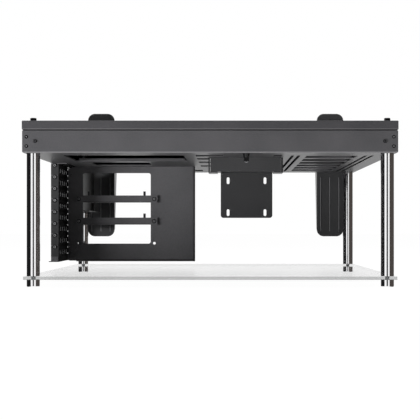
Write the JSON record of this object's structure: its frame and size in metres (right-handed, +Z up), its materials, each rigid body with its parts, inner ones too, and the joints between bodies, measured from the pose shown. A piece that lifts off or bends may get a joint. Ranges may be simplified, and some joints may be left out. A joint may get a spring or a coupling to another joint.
{
  "type": "open air test bench",
  "caption": "Open bench for testing computer parts: a flat slotted steel deck box on chromed tube legs over a clear base plate, with a card riser panel, drive tray and radiator brackets.",
  "frame": {"origin": "middle of the bench's footprint, on the floor", "axes": "+Z up, the front of the bench faces -Y, +X to the right of someone who looks at the front"},
  "size_m": [0.5694, 0.6442, 0.322],
  "materials": {
    "black_steel": "fine matt powder coat",
    "satin_black_steel": "smooth satin black",
    "chrome": "polished",
    "clear_acrylic": "clear, polished",
    "black_screws": "black oxide",
    "plated_steel": "bright plated",
    "brass": "turned",
    "black_rubber": "matt",
    "black_plastic": "gloss"
  },
  "bodies": {
    "root": {"bar_nuts": "plated_steel", "bar_screws": "black_screws", "bar_spacers": "plated_steel", "base_plate": "clear_acrylic", "board_standoffs": "brass", "bracket_nuts": "plated_steel", "bracket_screws": "black_screws", "bracket_washers": "plated_steel", "corner_angle_front_left": "black_steel", "corner_angle_front_right": "black_steel", "corner_angle_rear_left": "black_steel", "corner_angle_rear_right": "black_steel", "corner_rivets": "black_screws", "corner_screws": "black_screws", "deck_lid": "black_steel", "deck_spacers": "plated_steel", "deck_tray": "black_steel", "drive_rail_left": "satin_black_steel", "drive_rail_right": "satin_black_steel", "drive_tray": "satin_black_steel", "floor_nuts": "plated_steel", "foot_front_left": "chrome", "foot_front_right": "chrome", "foot_rear_left": "chrome", "foot_rear_right": "chrome", "frame_rivets": "black_screws", "front_knob": "black_plastic", "hanging_screws": "black_screws", "knob_dome": "black_plastic", "knob_nut": "plated_steel", "leg_front_left": "chrome", "leg_front_right": "chrome", "leg_inserts": "plated_steel", "leg_rear_left": "chrome", "leg_rear_right": "chrome", "leg_screws": "black_screws", "leg_studs": "plated_steel", "lid_grommets": "black_rubber", "pump_bracket": "satin_black_steel", "pump_screws": "black_screws", "radiator_bracket_left": "satin_black_steel", "radiator_bracket_right": "satin_black_steel", "rail_screws": "black_screws", "riser_bar_lower": "black_steel", "riser_bar_upper": "black_steel", "riser_panel": "black_steel", "riser_posts": "black_screws", "slot_cover_1": "satin_black_steel", "slot_cover_2": "satin_black_steel", "slot_cover_3": "satin_black_steel", "slot_cover_4": "satin_black_steel", "slot_cover_5": "satin_black_steel", "slot_cover_6": "satin_black_steel", "slot_cover_7": "satin_black_steel", "slot_cover_8": "satin_black_steel", "slot_frame": "black_steel", "slot_screws": "black_screws", "supply_bracket_left": "satin_black_steel", "supply_bracket_right": "satin_black_steel"}
  },
  "joints": []
}
